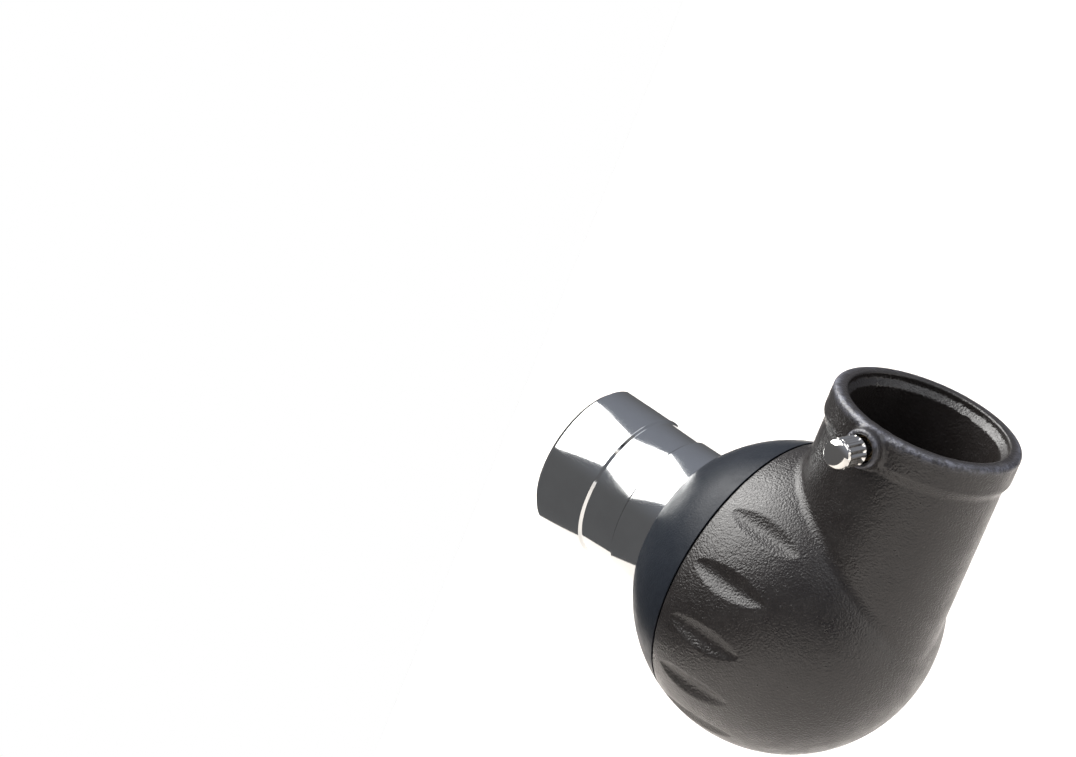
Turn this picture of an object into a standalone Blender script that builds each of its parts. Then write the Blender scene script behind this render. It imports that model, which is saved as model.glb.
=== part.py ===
"""Star diagonal: a 1.25 inch roof-prism diagonal in a ball-shaped moulded housing.

The telescope's axis runs along X and the nosepiece leaves towards -X. The eyepiece's axis runs along
+Z. The two axes meet on the prism's roof edge. The origin lies on the telescope's axis, on the flat
front face that the nosepiece's shoulder sits on. The thumbscrew points to -Y.
"""

import math

import bmesh
import bpy
from mathutils import Euler, Matrix, Vector

MM = 0.001

# Fits
GAP = 0.3 * MM  # between pieces that touch
PAST = 1.0 * MM  # how far a cutter runs past the face that it opens
THREAD_GAP = 0.1 * MM  # between the thumbscrew and its insert

# Housing
BALL_R = 31.5 * MM
BALL_X = 25.5 * MM  # ball centre, behind the flat front face
WALL = 2.8 * MM
SEAM_X = 15.2 * MM
SEAM_GAP = 0.3 * MM
FRONT_WEB = 3.6 * MM
SPIGOT_LENGTH = 4.0 * MM
SPIGOT_WALL = 1.6 * MM
SHOULDER_RECESS = 1.2 * MM  # the counterbore that takes the barrel's shoulder

# Finger grips: shallow hollows in rows round the telescope's axis
GRIP_COUNT = 6  # on each side
GRIP_FIRST = math.radians(50.2)  # from the top, round towards the side
GRIP_PITCH = math.radians(22.9)
GRIP_X = BALL_X + 1.2 * MM
GRIP_HALF_LENGTH = 8.6 * MM
GRIP_HALF_WIDTH = 2.8 * MM
GRIP_DEPTH = 0.95 * MM

# Eyepiece tube
EYE_X = 37.85 * MM
TUBE_R = 18.95 * MM
COLLAR_R = 19.9 * MM
COLLAR_TOP = 49.5 * MM
COLLAR_EDGE = 1.1 * MM
COLLAR_STEP_TOP = 43.6 * MM
COLLAR_STEP_BOTTOM = 41.7 * MM
SOCKET_R = 15.95 * MM  # running fit on a 31.75 mm barrel
SOCKET_FLOOR = 22.6 * MM
LEDGE_BOTTOM = 20.8 * MM
LEDGE_R = 12.4 * MM
MOUTH_R = 17.1 * MM
MOUTH_DEPTH = 1.3 * MM
WELL_R = 15.0 * MM
WELL_BOTTOM = -2.0 * MM
SKIRT_R = 18.2 * MM

# Boss and thumbscrew, measured outwards from the eyepiece's axis
BOSS_Z = 45.3 * MM
BOSS_R = 4.0 * MM
BOSS_FACE = 22.6 * MM
BOSS_ROUND = 0.6 * MM
POCKET_R = 2.9 * MM
POCKET_FLOOR = 16.7 * MM
INSERT_END = 21.0 * MM
TIP_HOLE_R = 2.3 * MM
TIP_R = 1.7 * MM
TIP_FACE = 15.9 * MM
TIP_LENGTH = 1.5 * MM
SHANK_R = 1.95 * MM
NECK_R = 2.35 * MM
NECK_START = 22.4 * MM
HEAD_START = 24.7 * MM
HEAD_END = 30.2 * MM
HEAD_R = 3.15 * MM
DOME_HEIGHT = 1.4 * MM
FLUTES = 14
FLUTE_DEPTH = 0.32 * MM

# Nosepiece
BARREL_R = 15.875 * MM
BARREL_LENGTH = 30.0 * MM
BARREL_BORE_R = 13.9 * MM
FILTER_THREAD_R = 14.25 * MM
FILTER_THREAD_DEPTH = 4.0 * MM
BARREL_EDGE = 0.6 * MM
UNDERCUT_DEPTH = 0.5 * MM
UNDERCUT_FROM = 9.0 * MM  # from the shoulder
UNDERCUT_TO = 17.0 * MM
TAIL_R = 15.0 * MM
TAIL_LENGTH = 7.0 * MM
LOCK_RING_R = 17.6 * MM
LOCK_RING_HEIGHT = 2.4 * MM
LOCK_NOTCH_WIDTH = 2.0 * MM
BAFFLE_R = 11.8 * MM
BAFFLE_FROM = 3.6 * MM
BAFFLE_TO = 5.6 * MM

# Prism, from the point where the axes meet
PRISM_FACE = 18.0 * MM  # distance to the entrance face and to the exit face
PRISM_BACK = 12.5 * MM  # distance to the ground faces at both ends of the roof edge
PRISM_HALF_WIDTH = 13.0 * MM
PRISM_CORNER = 2.0 * MM
CORNER_HEIGHT = PRISM_FACE * math.sqrt(2) - PRISM_CORNER / math.sqrt(2)

# Cradle, clip and pads, in the prism's own frame
PAD_THICKNESS = 0.5 * MM
PAD_LENGTH = 14.0 * MM
PAD_WIDTH = 9.0 * MM
PAD_FROM_EDGE = 5.0 * MM
CRADLE_HALF_LENGTH = 10.0 * MM
CRADLE_BACK = 3.0 * MM
CRADLE_FRONT = 13.0 * MM
CRADLE_HALF_WIDTH = PRISM_HALF_WIDTH + GAP
EAR_X = 30.7 * MM
EAR_THICKNESS = 3.0 * MM
EAR_Z = -6.0 * MM
EAR_HALF_HEIGHT = 3.5 * MM
EAR_TIP = 21.0 * MM
POST_Y = 17.5 * MM
POST_R = 3.2 * MM
SCREW_HOLE_R = 1.5 * MM
CRADLE_SCREW_R = 1.2 * MM
CRADLE_SCREW_LENGTH = 11.0 * MM
CRADLE_SCREW_HEAD_R = 2.4 * MM
CRADLE_SCREW_HEAD = 2.0 * MM
STRAP = 0.8 * MM
STRAP_HALF_WIDTH = 2.2 * MM
STRAP_INSIDE = CRADLE_HALF_WIDTH + GAP
STRAP_LEG_END = 1.5 * MM
CLIP_SCREW_HEIGHT = 4.0 * MM
CLIP_SCREW_R = 0.9 * MM
CLIP_SCREW_HOLE_R = 1.2 * MM
CLIP_SCREW_LENGTH = 6.0 * MM
CLIP_SCREW_HEAD_R = 1.9 * MM
CLIP_SCREW_HEAD = 1.2 * MM
STOP_BOTTOM = PRISM_FACE + GAP
STOP_HEIGHT = 1.6 * MM
STOP_OUTER_R = WELL_R - GAP
STOP_R = 11.6 * MM

# Directions that a local +Z is turned to
TO_NOSE = Euler((0, math.radians(-90), 0))  # -X
TO_THUMB = Euler((math.radians(90), 0, 0))  # -Y
TO_EYE = Euler((0, 0, 0))  # +Z
TO_CORNER = Euler((0, math.radians(-45), 0))  # from the roof edge to the prism's square corner

MATERIALS = {
    "housing_plastic": ((0.040, 0.040, 0.045), 0.55, 0.0),
    "cover_plastic": ((0.034, 0.037, 0.044), 0.50, 0.0),
    "barrel_chrome": ((0.75, 0.75, 0.76), 0.12, 1.0),
    "screw_chrome": ((0.80, 0.79, 0.77), 0.10, 1.0),
    "ring_black": ((0.020, 0.020, 0.021), 0.45, 0.6),
    "baffle_black": ((0.010, 0.010, 0.010), 0.80, 0.0),
    "prism_glass": ((0.90, 0.95, 0.97), 0.02, 0.0),
    "cradle_plastic": ((0.025, 0.025, 0.026), 0.60, 0.0),
    "cork": ((0.36, 0.24, 0.13), 0.90, 0.0),
    "spring_steel": ((0.50, 0.50, 0.52), 0.30, 1.0),
    "screw_steel": ((0.42, 0.42, 0.43), 0.32, 1.0),
    "insert_brass": ((0.62, 0.46, 0.20), 0.28, 1.0),
    "tip_nylon": ((0.78, 0.76, 0.70), 0.50, 0.0),
}


def clear_scene():
    for obj in list(bpy.data.objects):
        bpy.data.objects.remove(obj)


def new_collection(name):
    collection = bpy.data.collections.new(name)
    bpy.context.scene.collection.children.link(collection)
    return collection


def make_material(name):
    color, roughness, metallic = MATERIALS[name]
    material = bpy.data.materials.new(name)
    material.use_nodes = True
    shader = material.node_tree.nodes["Principled BSDF"]
    shader.inputs["Base Color"].default_value = (*color, 1.0)
    shader.inputs["Roughness"].default_value = roughness
    shader.inputs["Metallic"].default_value = metallic
    return material


clear_scene()
PARTS = new_collection("star_diagonal")
CUTTERS = new_collection("cutters")
materials = {name: make_material(name) for name in MATERIALS}


def add_object(name, mesh, axis, material=None):
    """A part when it has a material, and a hidden cutter when it has none."""
    obj = bpy.data.objects.new(name, mesh)
    obj.parent = axis
    if material:
        mesh.materials.append(materials[material])
        PARTS.objects.link(obj)
        mesh.shade_smooth()
        mesh.set_sharp_from_angle(angle=math.radians(35))
    else:
        CUTTERS.objects.link(obj)
        obj.hide_render = True
        obj.display_type = "WIRE"
    return obj


def add_axis(name, place, direction):
    """An empty whose local Z is the axis that its children are turned about or lie along."""
    empty = bpy.data.objects.new(name, None)
    empty.location = place
    empty.rotation_euler = direction
    PARTS.objects.link(empty)
    return empty


def turned(name, profile, axis, material=None, steps=64, closed=False):
    """Turns (radius, height) points about the axis. They run down the outer side, top to bottom."""
    mesh = bpy.data.meshes.new(name)
    edges = [(i, i + 1) for i in range(len(profile) - 1)]
    if closed:
        edges.append((len(profile) - 1, 0))
    mesh.from_pydata([(r, 0, z) for r, z in profile], edges, [])
    obj = add_object(name, mesh, axis, material)
    screw = obj.modifiers.new("turn", "SCREW")
    screw.steps = steps
    screw.render_steps = steps
    screw.use_merge_vertices = True
    screw.merge_threshold = 1e-6
    screw.use_smooth_shade = True
    return obj


def ring_profile(inner_r, outer_r, bottom, top):
    return [(inner_r, top), (outer_r, top), (outer_r, bottom), (inner_r, bottom)]


def rod_profile(radius, bottom, top):
    return [(0, top), (radius, top), (radius, bottom), (0, bottom)]


def arc(centre, radius, start, end, count):
    """Points on a circle in the profile's plane, with angles from the axis pointing up."""
    points = []
    for i in range(count + 1):
        angle = start + (end - start) * i / count
        points.append((radius * math.sin(angle), centre + radius * math.cos(angle)))
    return points


def block(name, low, high, axis, material=None):
    mesh = bpy.data.meshes.new(name)
    shape = bmesh.new()
    bmesh.ops.create_cube(shape, size=1.0)
    size = Vector(high) - Vector(low)
    centre = (Vector(high) + Vector(low)) / 2
    bmesh.ops.scale(shape, vec=size, verts=shape.verts)
    bmesh.ops.translate(shape, vec=centre, verts=shape.verts)
    shape.to_mesh(mesh)
    shape.free()
    return add_object(name, mesh, axis, material)


def slice_off(obj, point, normal):
    """Removes what lies beyond a plane from a convex mesh, and closes the cut."""
    shape = bmesh.new()
    shape.from_mesh(obj.data)
    everything = shape.verts[:] + shape.edges[:] + shape.faces[:]
    bmesh.ops.bisect_plane(shape, geom=everything, plane_co=point, plane_no=normal, clear_outer=True)
    open_edges = [edge for edge in shape.edges if edge.is_boundary]
    bmesh.ops.contextual_create(shape, geom=open_edges)
    bmesh.ops.recalc_face_normals(shape, faces=shape.faces)
    shape.to_mesh(obj.data)
    shape.free()


def boolean(target, tool, operation):
    modifier = target.modifiers.new(f"{operation.lower()} {tool.name}", "BOOLEAN")
    modifier.operation = operation
    modifier.object = tool
    modifier.solver = "EXACT"


def cut(target, *tools):
    for tool in tools:
        boolean(target, tool, "DIFFERENCE")


def join(target, *tools):
    for tool in tools:
        boolean(target, tool, "UNION")


def polar_from_radius(radius, circle_r):
    return math.asin(radius / circle_r)


# Axes
nose_axis = add_axis("nose_axis", (0, 0, 0), TO_NOSE)
eye_axis = add_axis("eye_axis", (EYE_X, 0, 0), TO_EYE)
thumb_axis = add_axis("thumb_axis", (EYE_X, 0, BOSS_Z), TO_THUMB)
prism_axis = add_axis("prism_axis", (EYE_X, 0, 0), TO_CORNER)


def build_interior():
    """The space inside the rear housing: ball hollow and prism well, without skirt and posts."""
    inner_r = BALL_R - WALL
    mouth = math.acos((BALL_X - SEAM_X) / inner_r)
    hollow = [(0, -SEAM_X + PAST), (inner_r * math.sin(mouth), -SEAM_X + PAST)]
    hollow += arc(-BALL_X, inner_r, mouth, math.pi, 12)
    interior = turned("housing_interior", hollow, nose_axis, steps=44)
    well = rod_profile(WELL_R, WELL_BOTTOM, LEDGE_BOTTOM + PAST)
    join(interior, turned("prism_well", well, eye_axis, steps=48))
    skirt = rod_profile(SKIRT_R, LEDGE_BOTTOM, COLLAR_TOP)
    cut(interior, turned("skirt", skirt, eye_axis, steps=40))
    post = rod_profile(POST_R, -BALL_X - BALL_R, -(EAR_X + EAR_THICKNESS + GAP))
    for side, name in ((-1, "left"), (1, "right")):
        post_axis = add_axis(f"post_axis_{name}", (0, side * POST_Y, EAR_Z), TO_NOSE)
        cut(interior, turned(f"post_{name}", post, post_axis, steps=20))
    return interior


def build_rear_housing():
    seam = math.acos((BALL_X - SEAM_X - SEAM_GAP / 2) / BALL_R)
    ball = [(0, -SEAM_X - SEAM_GAP / 2)] + arc(-BALL_X, BALL_R, seam, math.pi, 16)
    housing = turned("rear_housing", ball, nose_axis, "housing_plastic", steps=60)

    tube = [(0, COLLAR_TOP)]
    for r, z in arc(COLLAR_TOP - COLLAR_EDGE, COLLAR_EDGE, 0, math.pi / 2, 3):
        tube.append((COLLAR_R - COLLAR_EDGE + r, z))
    tube += [(COLLAR_R, COLLAR_STEP_TOP), (TUBE_R, COLLAR_STEP_BOTTOM), (TUBE_R, 0), (0, 0)]
    join(housing, turned("tube_and_collar", tube, eye_axis, steps=60))

    root = SOCKET_R + PAST
    boss = [(0, BOSS_FACE), (BOSS_R - BOSS_ROUND, BOSS_FACE), (BOSS_R, BOSS_FACE - BOSS_ROUND)]
    boss += [(BOSS_R, root), (0, root)]
    join(housing, turned("boss", boss, thumb_axis, steps=28))

    cut(housing, build_interior())

    above = COLLAR_TOP + PAST
    below = LEDGE_BOTTOM - 3 * PAST
    bevel_end = COLLAR_TOP - MOUTH_DEPTH - (MOUTH_R - SOCKET_R)
    socket = [(0, above), (MOUTH_R, above), (MOUTH_R, COLLAR_TOP - MOUTH_DEPTH)]
    socket += [(SOCKET_R, bevel_end), (SOCKET_R, SOCKET_FLOOR)]
    socket += [(LEDGE_R, SOCKET_FLOOR), (LEDGE_R, below), (0, below)]
    cut(housing, turned("socket", socket, eye_axis, steps=60))

    mouth = BOSS_FACE + PAST
    inner_end = SOCKET_R - 3 * PAST
    pocket = [(0, mouth), (POCKET_R, mouth), (POCKET_R, POCKET_FLOOR)]
    pocket += [(TIP_HOLE_R, POCKET_FLOOR), (TIP_HOLE_R, inner_end), (0, inner_end)]
    cut(housing, turned("insert_pocket", pocket, thumb_axis, steps=24))

    for name in ("left", "right"):
        post_axis = bpy.data.objects[f"post_axis_{name}"]
        hole = rod_profile(SCREW_HOLE_R, -EAR_X - CRADLE_SCREW_LENGTH - 2 * GAP, -EAR_X)
        cut(housing, turned(f"post_hole_{name}", hole, post_axis, steps=16))

    for side in (-1, 1):
        for number in range(GRIP_COUNT):
            cut(housing, build_grip(side, number))


def build_grip(side, number):
    """A long flat ellipsoid lying along the telescope's axis, sunk into the ball's surface."""
    angle = side * (GRIP_FIRST + number * GRIP_PITCH)
    mesh = bpy.data.meshes.new("grip")
    shape = bmesh.new()
    bmesh.ops.create_uvsphere(shape, u_segments=12, v_segments=8, radius=1.0)
    deep = 2 * GRIP_DEPTH
    bmesh.ops.scale(shape, vec=(GRIP_HALF_LENGTH, GRIP_HALF_WIDTH, deep), verts=shape.verts)
    surface = math.sqrt(BALL_R**2 - (GRIP_X - BALL_X) ** 2)
    lift = Matrix.Translation((GRIP_X, 0, surface + deep - GRIP_DEPTH))
    shape.transform(Matrix.Rotation(-angle, 4, "X") @ lift)
    shape.to_mesh(mesh)
    shape.free()
    where = "near" if side > 0 else "far"
    return add_object(f"grip_{where}_{number}", mesh, None)


def build_front_cover():
    inner_r = BALL_R - WALL
    rear = SEAM_X - SEAM_GAP / 2
    flat = BALL_X
    front = math.acos(flat / BALL_R)
    seam = math.acos((BALL_X - rear) / BALL_R)
    recess_r = BARREL_R + GAP
    hole_r = TAIL_R + GAP
    spigot_r = math.sqrt(inner_r**2 - (BALL_X - SEAM_X) ** 2) - GAP
    spigot_inner = spigot_r - SPIGOT_WALL
    inner_start = math.acos((BALL_X - FRONT_WEB) / inner_r)
    inner_end = polar_from_radius(spigot_inner, inner_r)

    profile = [(recess_r, 0)]
    profile += arc(-BALL_X, BALL_R, front, seam, 6)
    profile += [(spigot_r, -rear), (spigot_r, -rear - SPIGOT_LENGTH), (spigot_inner, -rear - SPIGOT_LENGTH)]
    profile += arc(-BALL_X, inner_r, inner_end, inner_start, 4)
    profile += [(hole_r, -FRONT_WEB), (hole_r, -SHOULDER_RECESS), (recess_r, -SHOULDER_RECESS)]
    turned("front_cover", profile, nose_axis, "cover_plastic", steps=60, closed=True)


def build_nosepiece():
    end = BARREL_LENGTH
    shoulder = GAP - SHOULDER_RECESS
    profile = [(FILTER_THREAD_R, end), (BARREL_R - BARREL_EDGE, end), (BARREL_R, end - BARREL_EDGE)]
    profile += [(BARREL_R, UNDERCUT_TO + UNDERCUT_DEPTH), (BARREL_R - UNDERCUT_DEPTH, UNDERCUT_TO)]
    profile += [(BARREL_R - UNDERCUT_DEPTH, UNDERCUT_FROM), (BARREL_R, UNDERCUT_FROM - UNDERCUT_DEPTH)]
    profile += [(BARREL_R, shoulder), (TAIL_R, shoulder), (TAIL_R, -TAIL_LENGTH)]
    profile += [(BARREL_BORE_R, -TAIL_LENGTH)]
    profile += [(BARREL_BORE_R, end - FILTER_THREAD_DEPTH), (FILTER_THREAD_R, end - FILTER_THREAD_DEPTH)]
    turned("nosepiece_barrel", profile, nose_axis, "barrel_chrome", steps=56, closed=True)

    top = -FRONT_WEB - GAP
    ring = ring_profile(TAIL_R + THREAD_GAP, LOCK_RING_R, top - LOCK_RING_HEIGHT, top)
    lock_ring = turned("barrel_lock_ring", ring, nose_axis, "ring_black", steps=40, closed=True)
    half = LOCK_NOTCH_WIDTH / 2
    reach = LOCK_RING_R + PAST
    low = (-reach, -half, top - LOCK_RING_HEIGHT - PAST)
    high = (reach, half, top - LOCK_RING_HEIGHT / 2)
    cut(lock_ring, block("spanner_notch", low, high, nose_axis))

    ring = ring_profile(BAFFLE_R, BARREL_BORE_R - GAP, -BAFFLE_TO, -BAFFLE_FROM)
    turned("entrance_baffle", ring, nose_axis, "baffle_black", steps=40, closed=True)


def build_prism():
    """A cube's corner: square entrance and exit faces, and a 90 degree roof along the long edge."""
    low = (-PRISM_FACE, -PRISM_HALF_WIDTH, -PRISM_BACK)
    high = (PRISM_BACK, PRISM_HALF_WIDTH, PRISM_FACE)
    prism = block("prism", low, high, eye_axis, "prism_glass")
    outward = Vector((1, 0, -1)).normalized()
    for side in (-1, 1):
        slice_off(prism, (0, 0, 0), (outward + Vector((0, side, 0))).normalized())
    corner = -outward * CORNER_HEIGHT
    slice_off(prism, corner, -outward)


def build_cradle():
    half = CRADLE_HALF_LENGTH
    low = (-half, -CRADLE_HALF_WIDTH, -CRADLE_BACK)
    high = (half, CRADLE_HALF_WIDTH, CRADLE_FRONT)
    cradle = block("prism_cradle", low, high, prism_axis, "cradle_plastic")

    ear_low = (EAR_X - EYE_X, -EAR_TIP, EAR_Z - EAR_HALF_HEIGHT)
    ear_high = (EAR_X - EYE_X + EAR_THICKNESS, EAR_TIP, EAR_Z + EAR_HALF_HEIGHT)
    join(cradle, block("ears", ear_low, ear_high, eye_axis))

    # A square bar turned on its edge cuts the V that the roof sits in.
    side = 4 * CRADLE_HALF_WIDTH
    room = (PAD_THICKNESS + 2 * GAP) * math.sqrt(2)
    groove = block("v_groove", (-side / 2, 0, 0), (side / 2, side, side), prism_axis)
    groove.rotation_euler = (math.radians(45), 0, 0)
    groove.location = (0, 0, -room)
    cut(cradle, groove)

    for name in ("left", "right"):
        post_axis = bpy.data.objects[f"post_axis_{name}"]
        hole = rod_profile(SCREW_HOLE_R, -EAR_X - EAR_THICKNESS - PAST, -EAR_X + PAST)
        cut(cradle, turned(f"ear_hole_{name}", hole, post_axis, steps=16))
    cut(cradle, clip_hole("clip_hole_in_cradle"))


def clip_hole(name):
    """One bar through both sides, for the two screws that hold the clip."""
    reach = STRAP_INSIDE + STRAP + PAST
    hole = turned(name, rod_profile(CLIP_SCREW_HOLE_R, -reach, reach), prism_axis, steps=16)
    hole.location = (0, 0, CLIP_SCREW_HEIGHT)
    hole.rotation_euler = (math.radians(90), 0, 0)
    return hole


def build_cradle_pads():
    """Thin pads half way between the prism's roof faces and the V."""
    for side, name in ((-1, "left"), (1, "right")):
        low = (-PAD_LENGTH / 2, PAD_FROM_EDGE, -GAP - PAD_THICKNESS)
        high = (PAD_LENGTH / 2, PAD_FROM_EDGE + PAD_WIDTH, -GAP)
        pad = block(f"cradle_pad_{name}", low, high, prism_axis, "cork")
        turn = 0 if side > 0 else math.pi
        slope = Matrix.Rotation(math.radians(45), 3, "X")
        pad.rotation_euler = (Matrix.Rotation(turn, 3, "Z") @ slope).to_euler()


def build_clip():
    bottom = CORNER_HEIGHT + 2 * GAP + PAD_THICKNESS
    outside = STRAP_INSIDE + STRAP
    low = (-STRAP_HALF_WIDTH, -outside, STRAP_LEG_END)
    high = (STRAP_HALF_WIDTH, outside, bottom + STRAP)
    clip = block("prism_clip", low, high, prism_axis, "spring_steel")
    low = (-STRAP_HALF_WIDTH - PAST, -STRAP_INSIDE, STRAP_LEG_END - PAST)
    high = (STRAP_HALF_WIDTH + PAST, STRAP_INSIDE, bottom)
    cut(clip, block("clip_inside", low, high, prism_axis))
    cut(clip, clip_hole("clip_hole_in_strap"))

    across = STRAP_HALF_WIDTH / 2
    along = PRISM_HALF_WIDTH - 2 * PAST
    low = (-across, -along, CORNER_HEIGHT + GAP)
    high = (across, along, CORNER_HEIGHT + GAP + PAD_THICKNESS)
    block("clip_pad", low, high, prism_axis, "cork")


def screw_profile(shank_r, shank_length, head_r, head_height):
    """A pan-head screw whose head's underside is at height 0."""
    rounding = 0.35 * head_height
    profile = [(0, head_height), (head_r - rounding, head_height), (head_r, head_height - rounding)]
    profile += [(head_r, 0), (shank_r, 0), (shank_r, -shank_length + shank_r), (0, -shank_length)]
    return profile


def build_screws():
    cradle_profile = screw_profile(
        CRADLE_SCREW_R, CRADLE_SCREW_LENGTH, CRADLE_SCREW_HEAD_R, CRADLE_SCREW_HEAD
    )
    clip_profile = screw_profile(
        CLIP_SCREW_R, CLIP_SCREW_LENGTH, CLIP_SCREW_HEAD_R, CLIP_SCREW_HEAD
    )
    for side, name in ((-1, "left"), (1, "right")):
        post_axis = bpy.data.objects[f"post_axis_{name}"]
        screw = turned(f"cradle_screw_{name}", cradle_profile, post_axis, "screw_steel", steps=14)
        screw.location = (0, 0, -EAR_X + GAP)
        cross_slot(screw, CRADLE_SCREW_HEAD, CRADLE_SCREW_HEAD_R)

        screw = turned(f"clip_screw_{name}", clip_profile, prism_axis, "screw_steel", steps=14)
        screw.location = (0, side * (STRAP_INSIDE + STRAP + GAP), CLIP_SCREW_HEIGHT)
        screw.rotation_euler = (math.radians(-90 * side), 0, 0)
        cross_slot(screw, CLIP_SCREW_HEAD, CLIP_SCREW_HEAD_R)


def cross_slot(screw, head_height, head_r):
    """Two crossed cuts in a screw's head."""
    reach = 0.6 * head_r
    half = 0.14 * head_r
    for number, (x, y) in enumerate(((reach, half), (half, reach))):
        low = (-x, -y, 0.5 * head_height)
        slot = block(f"{screw.name}_slot_{number}", low, (x, y, 1.5 * head_height), screw.parent)
        slot.location = screw.location
        slot.rotation_euler = screw.rotation_euler
        cut(screw, slot)


def build_exit_stop():
    ring = ring_profile(STOP_R, STOP_OUTER_R, STOP_BOTTOM, STOP_BOTTOM + STOP_HEIGHT)
    turned("exit_stop", ring, eye_axis, "baffle_black", steps=40, closed=True)


def build_insert_and_tip():
    ring = ring_profile(SHANK_R + THREAD_GAP, POCKET_R - GAP, POCKET_FLOOR + GAP, INSERT_END)
    turned("thumbscrew_insert", ring, thumb_axis, "insert_brass", steps=32, closed=True)
    edge = 0.3 * MM
    tip = [(0, TIP_FACE + TIP_LENGTH), (TIP_R, TIP_FACE + TIP_LENGTH), (TIP_R, TIP_FACE + edge)]
    tip += [(TIP_R - edge, TIP_FACE), (0, TIP_FACE)]
    turned("thumbscrew_tip", tip, thumb_axis, "tip_nylon", steps=24)


def build_thumbscrew():
    """Shank, neck and domed end are one turned shape; the fluted grip is joined to it."""
    inside = HEAD_R - FLUTE_DEPTH - 0.25 * MM
    dome_base = HEAD_END - 0.1 * MM
    profile = []
    for i in range(7):
        angle = math.radians(90) * i / 6
        profile.append((HEAD_R * math.sin(angle), HEAD_END + DOME_HEIGHT * math.cos(angle)))
    profile += [(HEAD_R, dome_base), (inside, dome_base - 0.3 * MM), (inside, HEAD_START + 0.2 * MM)]
    profile += [(NECK_R, HEAD_START + 0.1 * MM), (NECK_R, NECK_START), (SHANK_R, NECK_START - 0.2 * MM)]
    profile += [(SHANK_R, TIP_FACE + TIP_LENGTH + GAP), (0, TIP_FACE + TIP_LENGTH + GAP)]
    thumbscrew = turned("eyepiece_thumbscrew", profile, thumb_axis, "screw_chrome", steps=42)
    join(thumbscrew, fluted_grip())


def fluted_grip():
    mesh = bpy.data.meshes.new("fluted_grip")
    shape = bmesh.new()
    length = HEAD_END - HEAD_START
    bmesh.ops.create_cone(
        shape, cap_ends=True, segments=4 * FLUTES, radius1=HEAD_R, radius2=HEAD_R, depth=length
    )
    for vert in shape.verts:
        angle = math.atan2(vert.co.y, vert.co.x)
        groove = max(0.0, math.cos(FLUTES * angle)) ** 0.7
        wanted = HEAD_R - FLUTE_DEPTH * groove
        vert.co.xy *= wanted / vert.co.xy.length
        vert.co.z += (HEAD_START + HEAD_END) / 2
    shape.to_mesh(mesh)
    shape.free()
    return add_object("fluted_grip", mesh, thumb_axis)


build_rear_housing()
build_front_cover()
build_nosepiece()
build_prism()
build_cradle()
build_cradle_pads()
build_clip()
build_screws()
build_exit_stop()
build_insert_and_tip()
build_thumbscrew()
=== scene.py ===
"""Looks of the star diagonal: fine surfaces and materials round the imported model."""

import math

import bmesh
import bpy
import numpy as np
from mathutils import Matrix, Vector


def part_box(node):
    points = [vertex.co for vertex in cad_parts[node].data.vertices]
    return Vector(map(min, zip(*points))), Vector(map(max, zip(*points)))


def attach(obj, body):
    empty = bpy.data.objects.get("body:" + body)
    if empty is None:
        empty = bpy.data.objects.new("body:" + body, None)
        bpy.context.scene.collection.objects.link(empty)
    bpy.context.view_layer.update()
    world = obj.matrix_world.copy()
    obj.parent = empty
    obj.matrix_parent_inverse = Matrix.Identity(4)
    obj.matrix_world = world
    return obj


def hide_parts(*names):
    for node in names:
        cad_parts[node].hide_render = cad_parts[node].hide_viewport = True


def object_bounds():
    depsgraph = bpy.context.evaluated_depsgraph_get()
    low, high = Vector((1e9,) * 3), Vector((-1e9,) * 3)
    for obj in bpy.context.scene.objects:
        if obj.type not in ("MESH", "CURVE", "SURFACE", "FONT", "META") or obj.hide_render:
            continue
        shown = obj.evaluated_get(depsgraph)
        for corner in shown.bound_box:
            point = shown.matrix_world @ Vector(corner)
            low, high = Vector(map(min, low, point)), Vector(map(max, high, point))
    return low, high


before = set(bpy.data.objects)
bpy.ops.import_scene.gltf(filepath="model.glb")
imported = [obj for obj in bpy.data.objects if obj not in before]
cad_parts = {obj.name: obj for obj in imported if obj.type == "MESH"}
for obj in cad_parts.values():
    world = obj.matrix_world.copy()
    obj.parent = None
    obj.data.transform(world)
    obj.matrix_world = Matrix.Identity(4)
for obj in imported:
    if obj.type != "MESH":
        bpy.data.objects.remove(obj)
cad_low, cad_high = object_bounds()

MM = 0.001

# Places and sizes read from the frame
housing_low, housing_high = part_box("rear_housing")
barrel_low, barrel_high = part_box("nosepiece_barrel")
insert_low, insert_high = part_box("thumbscrew_insert")
screw_low, screw_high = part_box("eyepiece_thumbscrew")
tip_low, tip_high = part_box("thumbscrew_tip")
stop_low, stop_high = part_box("exit_stop")
ring_low, ring_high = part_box("barrel_lock_ring")
baffle_low, baffle_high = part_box("entrance_baffle")

EYE_X = (stop_low.x + stop_high.x) / 2  # the eyepiece's axis
THUMB_Z = (insert_low.z + insert_high.z) / 2  # the thumbscrew's axis
BALL_R = housing_high.y
BALL_X = 25.5 * MM
SEAM = housing_low.x
COLLAR_TOP = housing_high.z
COLLAR_R = housing_high.x - EYE_X
BARREL_R = barrel_high.y

# Rear housing
WALL = 2.8 * MM
TUBE_R = 18.95 * MM
COLLAR_EDGE = 1.1 * MM
COLLAR_STEP = (41.3 * MM, 43.9 * MM)
MOUTH_R = 17.1 * MM
MOUTH_DEPTH = 1.3 * MM
SOCKET_R = 15.95 * MM
SOCKET_FLOOR = 22.6 * MM
LEDGE_BOTTOM = 20.8 * MM
LEDGE_R = 12.4 * MM
WELL_R = 15.0 * MM
WELL_BOTTOM = -2.0 * MM
SKIRT_R = 18.2 * MM
BOSS_R = 4.0 * MM
BOSS_FACE = 22.6 * MM
BOSS_ROUND = 0.7 * MM
POCKET_R = 2.9 * MM
POCKET_FLOOR = 16.7 * MM
TIP_HOLE_R = 2.3 * MM
POST_Y = 17.5 * MM
POST_Z = -6.0 * MM
POST_R = 3.2 * MM
POST_FRONT = 34.0 * MM
POST_HOLE_R = 1.5 * MM
POST_HOLE_END = 42.3 * MM
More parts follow.
